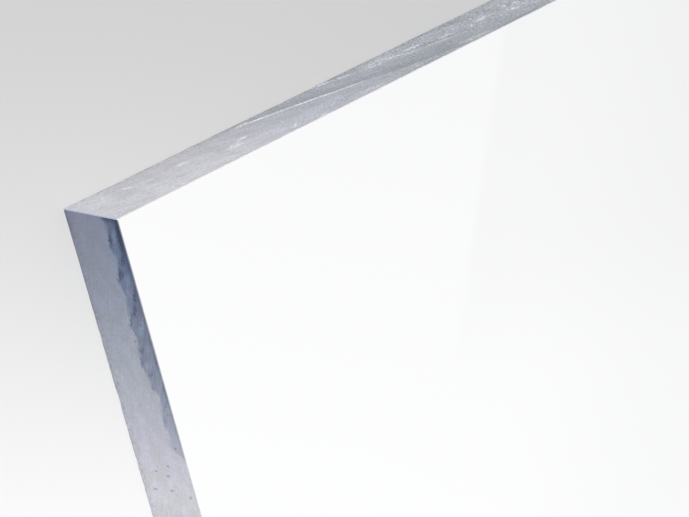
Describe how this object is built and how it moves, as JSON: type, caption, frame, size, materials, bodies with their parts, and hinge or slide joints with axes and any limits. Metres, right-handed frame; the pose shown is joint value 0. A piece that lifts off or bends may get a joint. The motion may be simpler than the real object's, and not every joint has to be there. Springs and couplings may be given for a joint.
{
  "type": "acrylic mirror sheet",
  "caption": "Square cut panel of thick clear acrylic mirror: a mirror face, a painted back and four sawn, frosted edges with a narrow scraped arris.",
  "frame": {"origin": "centre of the painted back face, which the sheet rests on", "axes": "+Z out of the mirror face, +X along the length, +Y along the width"},
  "size_m": [0.305, 0.305, 0.006],
  "materials": {
    "acrylic_mirror": "polished"
  },
  "bodies": {
    "root": {"mirror_sheet": "acrylic_mirror"}
  },
  "joints": []
}
